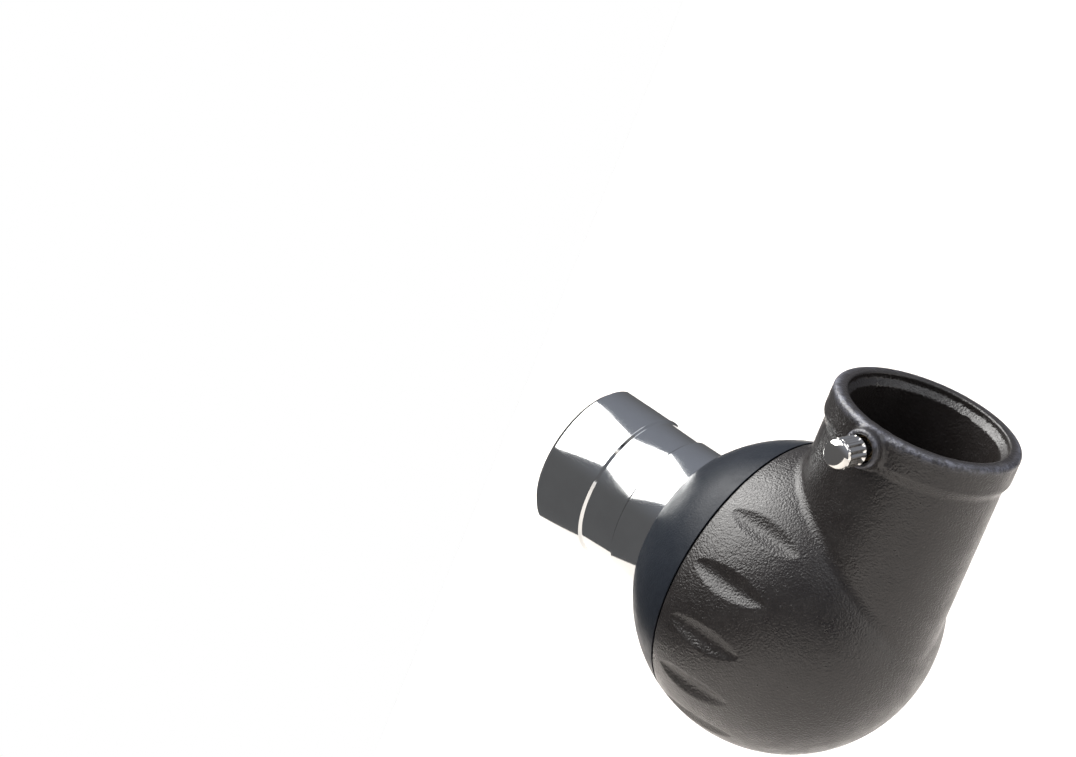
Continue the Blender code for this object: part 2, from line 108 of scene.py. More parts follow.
CREASE_FILLET = (2.2 * MM, 5.0 * MM)  # where the tube leaves the ball, at its top and at its foot
CREASE_RISE = (6 * MM, 27 * MM)  # the heights between which that fillet changes
BOSS_FILLET = 1.0 * MM
SMALL_ROUND = 0.35 * MM
VOXEL = 0.47 * MM
COLLAR_WEAR_AND_HIGHLIGHT = (0.45 * MM, 0.85 * MM)  # how far inside the edge the middle of the worn and painted-highlight band lies, and its width
BOSS_WEAR_AND_HIGHLIGHT = (0.3 * MM, 0.6 * MM)
BOSS_WEAR_AND_HIGHLIGHT_SHARE = 0.8

# Finger grips
GRIP_COUNT = 6
GRIP_FIRST = math.radians(50.2)
GRIP_PITCH = math.radians(22.9)
GRIP_X = BALL_X + 1.2 * MM
GRIP_HALF_LENGTH = 8.6 * MM
GRIP_HALF_WIDTH = 3.1 * MM
GRIP_DEPTH = 1.0 * MM

# Front cover, with a threaded spigot that reaches into the rear housing
SEAM_GAP = 0.3 * MM
FIT = 0.3 * MM
FRONT_EDGE = 0.5 * MM
SEAM_EDGE = 0.25 * MM
FRONT_WEB = 3.6 * MM
SHOULDER_RECESS = 1.2 * MM
SPIGOT_LENGTH = 4.0 * MM
SPIGOT_WALL = 1.6 * MM

# Nosepiece: its depths run forward from the cover's front face
TAIL_R = 15.0 * MM
BORE_R = 13.9 * MM
FILTER_R = 14.25 * MM
FILTER_DEPTH = 4.0 * MM
UNDERCUT = (9.0 * MM, 17.0 * MM)
UNDERCUT_DEPTH = 0.5 * MM
LEAD_IN = 1.0 * MM
BAFFLE_R = 11.8 * MM
STOP_R = 11.6 * MM

# Thumbscrew: its lengths run out from the eyepiece's axis
HEAD_START = 24.7 * MM
DOME = 1.4 * MM
NECK_R = 2.35 * MM
NECK_START = 22.4 * MM
SHANK_R = 1.95 * MM
FLUTES = 14
FLUTE_DEPTH = 0.34 * MM
THREAD_PITCH = 0.7 * MM
THREAD_DEPTH = 0.3 * MM
KNURLS = 16
KNURL_DEPTH = 0.1 * MM

SHARP = math.radians(38)  # edges over this angle stay sharp in the shading

# Directions that a turned piece's own Z is laid along
TO_NOSE = Vector((-1, 0, 0))
TO_THUMB = Vector((0, -1, 0))
TO_EYE = Vector((0, 0, 1))


# ---------------------------------------------------------------- meshes


def finish_piece(name, mesh, body, material):
    """Makes the mesh an object that rides on its body."""
    obj = bpy.data.objects.new(name, mesh)
    bpy.context.scene.collection.objects.link(obj)
    mesh.materials.clear()
    mesh.materials.append(material)
    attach(obj, body)
    return obj


def rounded(corners, closed=True, count=5):
    """A profile of (radius, height) points from (radius, height, corner radius) corners."""
    points = []
    total = len(corners)
    for i, (r, h, radius) in enumerate(corners):
        here = Vector((r, h))
        inside = closed or 0 < i < total - 1
        if radius == 0 or not inside:
            points.append(here)
            continue
        before = Vector(corners[i - 1][:2]) - here
        after = Vector(corners[(i + 1) % total][:2]) - here
        half = before.angle(after) / 2
        back = min(radius / math.tan(half), 0.49 * before.length, 0.49 * after.length)
        start = here + before.normalized() * back
        end = here + after.normalized() * back
        middle = (before.normalized() + after.normalized()).normalized()
        centre = here + middle * (back / math.cos(half))
        bend = (start - centre).angle_signed(end - centre)
        for step in range(count + 1):
            turn = Matrix.Rotation(-bend * step / count, 2)
            points.append(centre + turn @ (start - centre))
    return points


def turned(name, profile, place, direction, body, material, segments=192, relief=None, closed=True):
    """Turns a profile about an axis. A closed profile makes a ring, and an open one ends on the axis.

    relief(angle, radius, height) gives each point's own radius."""
    radius = np.array([p[0] for p in profile])
    height = np.array([p[1] for p in profile])
    angles = np.arange(segments) * (2 * math.pi / segments)
    r = np.repeat(radius[None, :], segments, 0)
    h = np.repeat(height[None, :], segments, 0)
    a = np.repeat(angles[:, None], len(profile), 1)
    if relief is not None:
        r = relief(a, r, h)
    grid = np.stack([r * np.cos(a), r * np.sin(a), h], -1)

    count = len(profile)
    faces = []
    if closed:
        points = grid.reshape(-1, 3)
        for s in range(segments):
            t = (s + 1) % segments
            for i in range(count):
                j = (i + 1) % count
                faces.append((s * count + i, s * count + j, t * count + j, t * count + i))
    else:
        inner = count - 2
        ends = np.array([(0, 0, height[0]), (0, 0, height[-1])])
        points = np.concatenate([grid[:, 1:-1].reshape(-1, 3), ends])
        first, last = segments * inner, segments * inner + 1
        for s in range(segments):
            t = (s + 1) % segments
            faces.append((first, s * inner, t * inner))
            faces.append((last, t * inner + inner - 1, s * inner + inner - 1))
            for i in range(inner - 1):
                faces.append((s * inner + i, s * inner + i + 1, t * inner + i + 1, t * inner + i))
    turn = direction.to_track_quat("Z", "Y").to_matrix()
    points = points @ np.array(turn).T + np.array(place)
    mesh = bpy.data.meshes.new(name)
    mesh.from_pydata(points.tolist(), [], faces)
    facing_out(mesh)
    mesh.shade_smooth()
    mesh.set_sharp_from_angle(angle=SHARP)
    return finish_piece(name, mesh, body, material)


def facing_out(mesh):
    """Turns a closed mesh's faces outwards."""
    shape = bmesh.new()
    shape.from_mesh(mesh)
    bmesh.ops.recalc_face_normals(shape, faces=shape.faces)
    shape.to_mesh(mesh)
    shape.free()


def welded(node):
    """A CAD node's mesh as a copy, and as a bmesh whose corners are joined."""
    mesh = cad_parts[node].data.copy()
    if mesh.has_custom_normals:
        mesh.attributes.remove(mesh.attributes["custom_normal"])
    shape = bmesh.new()
    shape.from_mesh(mesh)
    bmesh.ops.remove_doubles(shape, verts=shape.verts, dist=0.001 * MM)
    return mesh, shape


def eased(node, body, material, bevel):
    """A copy of a CAD node with its edges eased, which stands for the node."""
    mesh, shape = welded(node)
    bmesh.ops.dissolve_limit(
        shape, angle_limit=math.radians(1), verts=shape.verts, edges=shape.edges
    )
    sharp = [e for e in shape.edges if len(e.link_faces) == 2 and e.calc_face_angle() > math.radians(40)]
    bmesh.ops.bevel(
        shape, geom=sharp, offset=bevel, segments=3, profile=0.5, affect="EDGES", clamp_overlap=True
    )
    bmesh.ops.recalc_face_normals(shape, faces=shape.faces)
    shape.to_mesh(mesh)
    shape.free()
    mesh.shade_smooth()
    mesh.set_sharp_from_angle(angle=SHARP)
    obj = finish_piece(node + "_eased", mesh, body, material)
    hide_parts(node)


def box_shape(low, high):
    """A bmesh box between two corners."""
    shape = bmesh.new()
    bmesh.ops.create_cube(shape, size=1.0)
    bmesh.ops.scale(shape, vec=Vector(high) - Vector(low), verts=shape.verts)
    bmesh.ops.translate(shape, vec=(Vector(high) + Vector(low)) / 2, verts=shape.verts)
    return shape


def cut(piece, shape):
    """Cuts a bmesh shape out of a piece."""
    mesh = bpy.data.meshes.new("cutter")
    shape.to_mesh(mesh)
    shape.free()
    cutter = bpy.data.objects.new("cutter", mesh)
    bpy.context.scene.collection.objects.link(cutter)
    boolean = piece.modifiers.new("cut", "BOOLEAN")
    boolean.operation = "DIFFERENCE"
    boolean.solver = "EXACT"
    boolean.object = cutter
    result = evaluated_mesh(piece)
    piece.modifiers.clear()
    piece.data = result
    bpy.data.objects.remove(cutter)


def evaluated_mesh(obj):
    """The object's mesh with its modifiers applied."""
    graph = bpy.context.evaluated_depsgraph_get()
    return bpy.data.meshes.new_from_object(obj.evaluated_get(graph), depsgraph=graph)


def vertex_array(mesh):
    """The mesh's vertex positions, one row for each."""
    flat = np.empty(len(mesh.vertices) * 3, np.float32)
    mesh.vertices.foreach_get("co", flat)
    return flat.reshape(-1, 3).astype(float)


def write_vertices(mesh, points):
    """Puts the mesh's vertices at these points."""
    mesh.vertices.foreach_set("co", points.astype(np.float32).ravel())
    mesh.update()


def store(mesh, name, values):
    """Keeps one value for each vertex, for a material to read."""
    layer = mesh.attributes.new(name, "FLOAT", "POINT")
    layer.data.foreach_set("value", np.asarray(values, np.float32))


# ---------------------------------------------------------------- the rear housing as a field


def blend_union(a, b, radius):
    """Two fields as one, with a fillet of this radius where they meet."""
    u = np.maximum(radius - a, 0)
    v = np.maximum(radius - b, 0)
    return np.maximum(radius, np.minimum(a, b)) - np.hypot(u, v)


def blend_common(a, b, radius):
    """What two fields share, with its edge rounded."""
    u = np.maximum(radius + a, 0)
    v = np.maximum(radius + b, 0)
    return np.minimum(-radius, np.maximum(a, b)) + np.hypot(u, v)


def smooth_step(low, high, value):
    """0 below low, 1 above high and a smooth rise between them."""
    t = np.clip((value - low) / (high - low), 0, 1)
    return t * t * (3 - 2 * t)


def grip_sink(x, y, z):
    """How far the finger grips are sunk into the ball at a point near its surface."""
    across = np.abs(np.arctan2(y, z))
    number = np.clip(np.round((across - GRIP_FIRST) / GRIP_PITCH), 0, GRIP_COUNT - 1)
    ball_here = np.sqrt(np.maximum(BALL_R**2 - (x - BALL_X) ** 2, 0))
    side = (across - GRIP_FIRST - number * GRIP_PITCH) * ball_here
    along = np.clip(np.abs(x - GRIP_X) / GRIP_HALF_LENGTH, 0, 1)
    leaf = 1 - along**2
    width = np.maximum(GRIP_HALF_WIDTH * leaf**0.6, 0.01 * MM)
    cross = np.clip(1 - (side / width) ** 2, 0, 1)
    return GRIP_DEPTH * leaf**0.9 * cross**1.7


def outer_field(p):
    """Negative inside the housing's outer skin: ball, tube, collar and boss."""
    x, y, z = p.T
    ball_dist = np.sqrt((x - BALL_X) ** 2 + y**2 + z**2)
    ball = ball_dist - BALL_R + grip_sink(x, y, z)

    ex = x - EYE_X
    rho = np.hypot(ex, y)
    wall = TUBE_R + (COLLAR_R - TUBE_R) * smooth_step(*COLLAR_STEP, z)
    tube = blend_common(rho - wall, z - COLLAR_TOP, COLLAR_EDGE)
    tube = np.maximum(tube, -z)

    # The crease is a true fillet: it narrows to nothing where ball and tube run parallel.
    facing = ((x - BALL_X) * ex + y * y) / np.maximum(ball_dist * rho, 1e-12)
    top, foot = CREASE_FILLET
    fillet = top + (foot - top) * (1 - smooth_step(*CREASE_RISE, z))
    body = blend_union(ball, tube, fillet * np.maximum(1 - facing, 0.02))

    boss = blend_common(np.hypot(ex, z - THUMB_Z) - BOSS_R, -y - BOSS_FACE, BOSS_ROUND)
    boss = np.maximum(boss, y + SOCKET_R + 1 * MM)
    return blend_union(body, boss, BOSS_FILLET)


def hollow_field(p):
    """Negative inside the housing's hollows: chamber, well, socket, ledge hole and thumbscrew pocket."""
    x, y, z = p.T
    ex = x - EYE_X
    rho = np.hypot(ex, y)
    chamber = np.sqrt((x - BALL_X) ** 2 + y**2 + z**2) - (BALL_R - WALL)
    well = np.maximum(rho - WELL_R, np.maximum(WELL_BOTTOM - z, z - LEDGE_BOTTOM))
    chamber = np.minimum(chamber, well)
    skirt = np.maximum(rho - SKIRT_R, LEDGE_BOTTOM - z)
    chamber = np.maximum(chamber, -skirt)
    post_rho = np.hypot(np.abs(y) - POST_Y, z - POST_Z)
    chamber = np.maximum(chamber, -np.maximum(post_rho - POST_R, POST_FRONT - x))
    post_hole = np.maximum(post_rho - POST_HOLE_R, x - POST_HOLE_END)
    post_hole = np.maximum(post_hole, POST_FRONT - 1 * MM - x)

    bevel_end = COLLAR_TOP - MOUTH_DEPTH - (MOUTH_R - SOCKET_R)
    bore = SOCKET_R + np.clip(z - bevel_end, 0, MOUTH_R - SOCKET_R)
    socket = np.maximum(rho - bore, SOCKET_FLOOR - z)
    ledge = np.maximum(rho - LEDGE_R, LEDGE_BOTTOM - 3 * MM - z)

    thumb_rho = np.hypot(ex, z - THUMB_Z)
    pocket = np.maximum(thumb_rho - POCKET_R, y + POCKET_FLOOR)
    tip_hole = np.maximum(thumb_rho - TIP_HOLE_R, y)
    fields = (chamber, post_hole, socket, ledge, pocket, tip_hole)
    return np.minimum.reduce(fields)


def housing_field(p):
    """Negative inside the housing's walls."""
    body = blend_common(outer_field(p), -hollow_field(p), SMALL_ROUND)
    return blend_common(body, SEAM - p[:, 0], SMALL_ROUND)


def gradient(field, p, step=0.01 * MM):
    """The field's slope at each point, by central differences."""
    out = np.empty_like(p)
    for axis in range(3):
        shift = np.zeros(3)
        shift[axis] = step
        out[:, axis] = (field(p + shift) - field(p - shift)) / (2 * step)
    return out


def settle(field, p, rounds=7, most=0.4 * MM):
    """Moves points onto the field's zero surface."""
    for _ in range(rounds):
        slope = gradient(field, p)
        steep = np.maximum((slope**2).sum(1), 0.05)
        move = -slope * (field(p) / steep)[:, None]
        length = np.linalg.norm(move, axis=1, keepdims=True)
        p = p + move * np.minimum(1, most / np.maximum(length, 1e-12))
    return p


def evened(mesh, points):
    """Each point drawn half the way to the middle of its neighbours, which opens out folded faces."""
    ends = np.empty(len(mesh.edges) * 2, np.int32)
    mesh.edges.foreach_get("vertices", ends)
    a, b = ends.reshape(-1, 2).T
    total = np.zeros_like(points)
    np.add.at(total, a, points[b])
    np.add.at(total, b, points[a])
    count = np.bincount(ends, minlength=len(points))
    return (points + total / np.maximum(count, 1)[:, None]) / 2


def build_rear_housing(material):
    """Voxels of the CAD solid, settled onto the fine surface."""
    mesh, shape = welded("rear_housing")
    shape.to_mesh(mesh)
    shape.free()
    work = bpy.data.objects.new("housing_work", mesh)
    bpy.context.scene.collection.objects.link(work)
    remesh = work.modifiers.new("voxels", "REMESH")
    remesh.mode = "VOXEL"
    remesh.voxel_size = VOXEL
    mesh = evaluated_mesh(work)
    bpy.data.objects.remove(work)

    points = settle(housing_field, vertex_array(mesh))
    for _ in range(4):
        points = settle(housing_field, evened(mesh, points), 3)
    points = settle(housing_field, points, 4)
    points = np.clip(points, np.array(housing_low), np.array(housing_high))
    write_vertices(mesh, points)
    # The edge band marks worn plastic and, in part, a painted highlight on the collar's and boss's rims.
    store(mesh, "wear_and_highlight", edge_wear_and_highlight(points))
    store(mesh, "outside", (outer_field(points) > -0.4 * MM).astype(float))
    mesh.shade_smooth()
    normals = gradient(housing_field, points, 0.03 * MM)
    normals /= np.maximum(np.linalg.norm(normals, axis=1, keepdims=True), 1e-9)
    mesh.normals_split_custom_set_from_vertices(normals.tolist())
    obj = finish_piece("rear_housing_shell", mesh, "housing", material)
    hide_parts("rear_housing")


def edge_wear_and_highlight(p):
    """1 along the collar's outer edge and the boss's, where handling rubs the grain smooth and where a
    paler colour also stands in for the edges' highlight.
    """
    x, y, z = p.T
    rho = np.hypot(x - EYE_X, y)
    inset, width = COLLAR_WEAR_AND_HIGHLIGHT
    edge = np.hypot(rho - (COLLAR_R - inset), z - (COLLAR_TOP - inset))
    collar = np.exp(-((edge / width) ** 2))
    thumb_rho = np.hypot(x - EYE_X, z - THUMB_Z)
    inset, width = BOSS_WEAR_AND_HIGHLIGHT
    rim = np.hypot(thumb_rho - (BOSS_R - inset), -y - (BOSS_FACE - inset))
    boss = np.exp(-((rim / width) ** 2))
    return np.clip(collar + BOSS_WEAR_AND_HIGHLIGHT_SHARE * boss, 0, 1)


# ---------------------------------------------------------------- turned pieces


def arc_points(centre, radius, start, end, count):
    """Profile points along an arc about a centre on the axis. Its angles are from the axis."""
    out = []
    for i in range(count + 1):
        angle = start + (end - start) * i / count
        out.append((radius * math.sin(angle), centre + radius * math.cos(angle)))
    return out


def build_front_cover(material):
    """The profile runs in (radius, height), and height goes towards the nosepiece from the front face."""
    inner_r = BALL_R - WALL
    rear = SEAM - SEAM_GAP
    front = math.acos(BALL_X / BALL_R)
    seam = math.acos((BALL_X - rear) / BALL_R)
    front_edge = FRONT_EDGE / BALL_R
    seam_edge = SEAM_EDGE / BALL_R
    recess_r = BARREL_R + FIT
    hole_r = TAIL_R + FIT
    spigot_r = math.sqrt(inner_r**2 - (BALL_X - rear) ** 2) - FIT
    spigot_inner = spigot_r - SPIGOT_WALL
    start = math.acos((BALL_X - FRONT_WEB) / inner_r)
    end = math.asin(spigot_inner / inner_r)
    flat_r = BALL_R * math.sin(front)
    seam_r = BALL_R * math.sin(seam)

    outer = arc_points(-BALL_X, BALL_R, front + front_edge, seam - seam_edge, 70)
    inner = arc_points(-BALL_X, inner_r, end, start, 24)
    corners = [(recess_r, 0, 0.3 * MM), (flat_r, 0, FRONT_EDGE)]
    corners += [(r, h, 0) for r, h in outer]
    corners += [(seam_r, -rear, SEAM_EDGE), (spigot_r, -rear, 0.2 * MM)]
    corners += spigot_thread(spigot_r, -rear - 0.8 * MM, -rear - SPIGOT_LENGTH + 0.6 * MM)
    corners += [(spigot_r, -rear - SPIGOT_LENGTH, 0.3 * MM)]
    corners += [(spigot_inner, -rear - SPIGOT_LENGTH, 0.2 * MM)]
    corners += [(r, h, 0) for r, h in inner]
    corners += [(hole_r, -FRONT_WEB, 0.2 * MM), (hole_r, -SHOULDER_RECESS, 0)]
    corners += [(recess_r, -SHOULDER_RECESS, 0)]
    piece = turned(
        "front_cover_shell", rounded(corners), (0, 0, 0), TO_NOSE, "housing", material, 256
    )
    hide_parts("front_cover")


def spigot_thread(radius, top, bottom):
    """Thread crests and roots down the cover's spigot."""
    pitch, depth = 0.8 * MM, 0.25 * MM
    count = int((top - bottom) / pitch)
    corners = []
    for i in range(count):
        start = top - i * pitch
        corners += [(radius, start, 0), (radius - depth, start - pitch / 2, 0)]
    corners.append((radius, bottom, 0))
    return corners


def filter_thread(radius, top, bottom, pitch=0.6 * MM, depth=0.28 * MM):
    """Grooves up the inside of the nosepiece's mouth, from the bottom to the top."""
    count = int((top - bottom) / pitch)
    corners = []
    for i in range(count):
        start = bottom + i * pitch
        corners += [(radius, start, 0), (radius + depth, start + pitch / 2, 0)]
    corners.append((radius, bottom + count * pitch, 0))
    return corners


def build_nosepiece(material):
    """The barrel: lead-in, undercut, shoulder, tail, bore and filter thread."""
    end = -barrel_low.x
    tail = -barrel_high.x
    shoulder = FIT - SHOULDER_RECESS
    waist_r = BARREL_R - UNDERCUT_DEPTH
    waist_start, waist_end = UNDERCUT
    thread_start = end - FILTER_DEPTH
    corners = [(FILTER_R + 0.35 * MM, end, 0.1 * MM), (BARREL_R - LEAD_IN, end, 0.1 * MM)]
    corners += [(BARREL_R, end - LEAD_IN, 0.12 * MM), (BARREL_R, waist_end + UNDERCUT_DEPTH, 0.15 * MM)]
    corners += [(waist_r, waist_end, 0.15 * MM), (waist_r, waist_start, 0.15 * MM)]
    corners += [(BARREL_R, waist_start - UNDERCUT_DEPTH, 0.15 * MM), (BARREL_R, shoulder, 0.2 * MM)]
    corners += [(TAIL_R, shoulder, 0), (TAIL_R, tail, 0.3 * MM), (BORE_R, tail, 0.3 * MM)]
    corners += [(BORE_R, thread_start, 0), (FILTER_R, thread_start, 0)]
    corners += filter_thread(FILTER_R, end - 0.5 * MM, thread_start + 0.3 * MM)
    piece = turned(
        "nosepiece_shell", rounded(corners), (0, 0, 0), TO_NOSE, "housing", material, 256
    )
    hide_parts("nosepiece_barrel")


def build_lock_ring(material):
    """A ring, threaded on the real thing but drawn without its thread, with two spanner notches."""
    top, bottom = -ring_low.x, -ring_high.x
    outer = ring_high.y
    inner = TAIL_R + 0.1 * MM
    corners = [(inner, top, 0.15 * MM), (outer, top, 0.3 * MM), (outer, bottom, 0.3 * MM)]
    corners += [(inner, bottom, 0.15 * MM)]
    piece = turned(
        "lock_ring_fine", rounded(corners), (0, 0, 0), TO_NOSE, "housing", material, 160
    )
    middle = (top + bottom) / 2
    half_notch, reach = 1.0 * MM, 20 * MM
    cut(piece, box_shape((-middle, -reach, -half_notch), (-bottom + 1 * MM, reach, half_notch)))
    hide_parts("barrel_lock_ring")


def build_baffles(material):
    """The entrance baffle and the exit stop, each with a knife edge round its opening."""
    slope, land = 1.2 * MM, 0.4 * MM
    front, back = -baffle_low.x, -baffle_high.x
    outer, inner = baffle_high.y, BAFFLE_R
    corners = [(inner, front, 0), (outer, front, 0.2 * MM), (outer, back, 0.2 * MM)]
    corners += [(inner + slope, back, 0.1 * MM), (inner, front - land, 0)]
    place = (0, 0, 0)
    piece = turned(
        "entrance_baffle_fine", rounded(corners), place, TO_NOSE, "housing", material, 128
    )
    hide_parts("entrance_baffle")
    bottom, top = stop_low.z, stop_high.z
    outer, inner = stop_high.y, STOP_R
    corners = [(inner, bottom, 0), (inner, bottom + land, 0), (inner + slope, top, 0.1 * MM)]
    corners += [(outer, top, 0.2 * MM), (outer, bottom, 0.2 * MM)]
    place = (EYE_X, 0, 0)
    piece = turned(
        "exit_stop_fine", rounded(corners), place, TO_EYE, "housing", material, 128
    )
    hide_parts("exit_stop")


# ---------------------------------------------------------------- thumbscrew


def build_thumbscrew(chrome, brass, nylon):
    """The three pieces on the thumbscrew's axis."""
    build_screw(chrome)
    build_insert(brass)
    build_tip(nylon)


def build_screw(material):
    """Domed and fluted head, neck and threaded shank."""
    head_r = (screw_high.x - screw_low.x) / 2
    end = -screw_low.y
    tip_end = -screw_high.y
    head_end = end - DOME
    rim = 0.15 * MM
    flat = 0.9 * MM

    profile = [(0, end)]
    for i in range(1, 15):
        angle = math.radians(90) * i / 14
        across = flat + (head_r - 0.12 * MM - flat) * math.sin(angle)
        profile.append((across, head_end + rim + (DOME - rim) * math.cos(angle)))
    profile += [(head_r, head_end), (head_r, head_end - rim)]
    steps = 12
    for i in range(1, steps):
        profile.append((head_r, head_end - rim - (head_end - HEAD_START - 2 * rim) * i / steps))
    profile += [(head_r, HEAD_START + rim), (head_r - 2 * rim, HEAD_START)]
    profile += [(NECK_R + rim, HEAD_START), (NECK_R, HEAD_START - rim)]
    profile += [(NECK_R, NECK_START + 0.1 * MM), (NECK_R - 0.1 * MM, NECK_START), (SHANK_R, NECK_START)]
    thread_top, thread_bottom = NECK_START - 0.4 * MM, tip_end + 0.3 * MM
    count = int((thread_top - thread_bottom) / (THREAD_PITCH / 8))
    for i in range(count + 1):
        profile.append((SHANK_R, thread_top - (thread_top - thread_bottom) * i / count))
    profile += [(SHANK_R - 0.3 * MM, tip_end), (0, tip_end)]

    def relief(angle, radius, height):
        grip = smooth_step(HEAD_START + 0.1 * MM, HEAD_START + 0.7 * MM, height)
        grip = grip * (1 - smooth_step(head_end - 0.5 * MM, head_end + 0.35 * MM, height))
        flute = np.abs(np.cos(FLUTES * angle / 2)) ** 2.2
        radius = radius - FLUTE_DEPTH * flute * grip * (radius > NECK_R + 0.2 * MM)
        on_thread = smooth_step(thread_bottom, thread_bottom + 0.5 * MM, height)
        on_thread = on_thread * (1 - smooth_step(thread_top - 0.5 * MM, thread_top, height))
        turn = (height / THREAD_PITCH + angle / (2 * math.pi)) % 1.0
        tooth = np.abs(2 * turn - 1)
        return radius - THREAD_DEPTH * tooth * on_thread * (np.abs(radius - SHANK_R) < 0.01 * MM)

    place = (EYE_X, 0, THUMB_Z)
    name, slot = "thumbscrew_fine", "screw_chrome"
    piece = turned(name, profile, place, TO_THUMB, "thumbscrew", material, 280, relief, closed=False)
    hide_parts("eyepiece_thumbscrew")


def build_insert(material):
    """The brass bush that the screw turns in, knurled outside."""
    outer = (insert_high.x - insert_low.x) / 2
    inner = SHANK_R + 0.1 * MM
    top, bottom = -insert_low.y, -insert_high.y
    corners = [(inner + 0.25 * MM, top, 0.05 * MM), (outer, top, 0.2 * MM), (outer, bottom, 0.2 * MM)]
    corners += [(inner, bottom, 0.1 * MM), (inner, top - 0.25 * MM, 0.05 * MM)]

    def knurl(angle, radius, height):
        rough = np.abs(np.sin(KNURLS * angle + height / MM * 2.0)) * KNURL_DEPTH
        band = np.abs((height - bottom) / (top - bottom) - 0.5) < 0.4
        return radius - rough * (radius > outer - 0.02 * MM) * band

    profile = with_steps(rounded(corners), outer, 16)
    place = (EYE_X, 0, THUMB_Z)
    name, slot = "thumbscrew_insert_fine", "insert_brass"
    piece = turned(name, profile, place, TO_THUMB, "housing", material, 192, knurl)
    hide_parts("thumbscrew_insert")


def build_tip(material):
    """The soft tip, with an eased end that presses on the eyepiece."""
    radius = (tip_high.x - tip_low.x) / 2
    top, bottom = -tip_low.y, -tip_high.y
    corners = [(0, top, 0), (radius, top, 0.15 * MM), (radius, bottom, 0.35 * MM), (0, bottom, 0)]
    profile = rounded(corners, closed=False)
    place = (EYE_X, 0, THUMB_Z)
    name, slot = "thumbscrew_tip_fine", "tip_nylon"
    piece = turned(name, profile, place, TO_THUMB, "tip", material, 96, closed=False)
    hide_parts("thumbscrew_tip")


def with_steps(profile, radius, count):
    """Adds points down the stretch of a profile that runs at this radius."""
    out = []
    for i, point in enumerate(profile):
        out.append(point)
        after = profile[(i + 1) % len(profile)]
        if abs(point[0] - radius) < 1e-7 and abs(after[0] - radius) < 1e-7:
            for k in range(1, count):
                share = k / count
                out.append((radius, point[1] + (after[1] - point[1]) * share))
    return out


# ---------------------------------------------------------------- small screws


def build_small_screw(node, material):
    """A pan-head screw with a cross recess and a cut thread, whose place comes from its CAD node's box."""
    low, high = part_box(node)
    centre = (low + high) / 2
    head_r = (high.z - low.z) / 2
    if node.startswith("cradle"):
        direction = TO_NOSE
        place = (0, centre.y, centre.z)
        head, shank_r, pitch = 2.0 * MM, 1.2 * MM, 0.6 * MM
        length = high.x - low.x
        top = -low.x
    else:
        outward = -1 if centre.y < 0 else 1
        direction = Vector((0, outward, 0))
        place = (centre.x, 0, centre.z)
        head, shank_r, pitch = 1.2 * MM, 0.9 * MM, 0.45 * MM
        length = high.y - low.y
        top = high.y if outward > 0 else -low.y
    under, end = top - head, top - length
    profile = [(0, top)]
    rise = 0.45 * head
    for i in range(1, 9):
        angle = math.radians(90) * i / 8
        profile.append((head_r * (0.45 + 0.55 * math.sin(angle)), top - rise + rise * math.cos(angle)))
    profile += [(head_r, under + 0.05 * MM), (head_r - 0.08 * MM, under), (shank_r, under)]
    thread_top, thread_bottom = under - 0.3 * MM, end + 1.4 * shank_r
    count = int((thread_top - thread_bottom) / (pitch / 8))
    for i in range(count + 1):
        profile.append((shank_r, thread_top - (thread_top - thread_bottom) * i / count))
    profile += [(0.15 * shank_r, end + 0.08 * MM), (0, end)]

    thread_depth = 0.22 * MM

    def relief(angle, radius, height):
        turn = (height / pitch + angle / (2 * math.pi)) % 1.0
        tooth = np.abs(2 * turn - 1)
        inside = (height <= thread_top) & (height >= thread_bottom)
        return radius - thread_depth * tooth * inside * (np.abs(radius - shank_r) < 0.01 * MM)

    name, slot = node + "_fine", "screw_steel"
    piece = turned(name, profile, place, direction, "housing", material, 72, relief, closed=False)
    cross_recess(piece, place, direction, top, head, head_r)
    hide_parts(node)


def cross_recess(piece, place, direction, top, head, head_r):
    """Two crossed slots that taper towards the screw's axis."""
    turn = direction.to_track_quat("Z", "Y").to_matrix().to_4x4()
    reach, half = 0.6 * head_r, 0.13 * head_r
    for quarter in range(2):
        shape = bmesh.new()
        bmesh.ops.create_cube(shape, size=1.0)
        for vert in shape.verts:
            up = vert.co.z > 0
            across = reach if up else 0.45 * reach
            height = top + 0.3 * head if up else top - 0.62 * head
            vert.co = (math.copysign(across, vert.co.x), math.copysign(half, vert.co.y), height)
        shape.transform(Matrix.Rotation(quarter * math.pi / 2, 4, "Z"))
        shape.transform(Matrix.Translation(place) @ turn)
        cut(piece, shape)


# ---------------------------------------------------------------- materials


def add(tree, kind, settings=None, **inputs):
    """A node with its settings, and its inputs set or linked."""
    made = tree.nodes.new(kind)
    for key, value in (settings or {}).items():
        setattr(made, key, value)
    for key, value in inputs.items():
        connect(tree, value, made.inputs[key.replace("_", " ")])
    return made


def connect(tree, value, socket):
    """Links a socket to the input, or sets its value."""
    if isinstance(value, bpy.types.NodeSocket):
        tree.links.new(value, socket)
    else:
        socket.default_value = value


def calc(tree, operation, *values, clamp=False):
    """The result of one maths node."""
    made = tree.nodes.new("ShaderNodeMath")
    made.operation = operation
    made.use_clamp = clamp
    for i, value in enumerate(values):
        connect(tree, value, made.inputs[i])
    return made.outputs[0]


def spread(tree, value, low, high, to_low=0.0, to_high=1.0):
    """Maps low..high to to_low..to_high, eased at both ends and held beyond them."""
    made = add(tree, "ShaderNodeMapRange", {"interpolation_type": "SMOOTHSTEP"})
    sockets = ("Value", "From Min", "From Max", "To Min", "To Max")
    for name, given in zip(sockets, (value, low, high, to_low, to_high)):
        connect(tree, given, made.inputs[name])
    return made.outputs["Result"]


def mixed(tree, share, a, b):
    """A colour between a and b."""
    made = add(tree, "ShaderNodeMix", {"data_type": "RGBA"})
    connect(tree, share, made.inputs[0])
    connect(tree, a, made.inputs[6])
    connect(tree, b, made.inputs[7])
    return made.outputs[2]


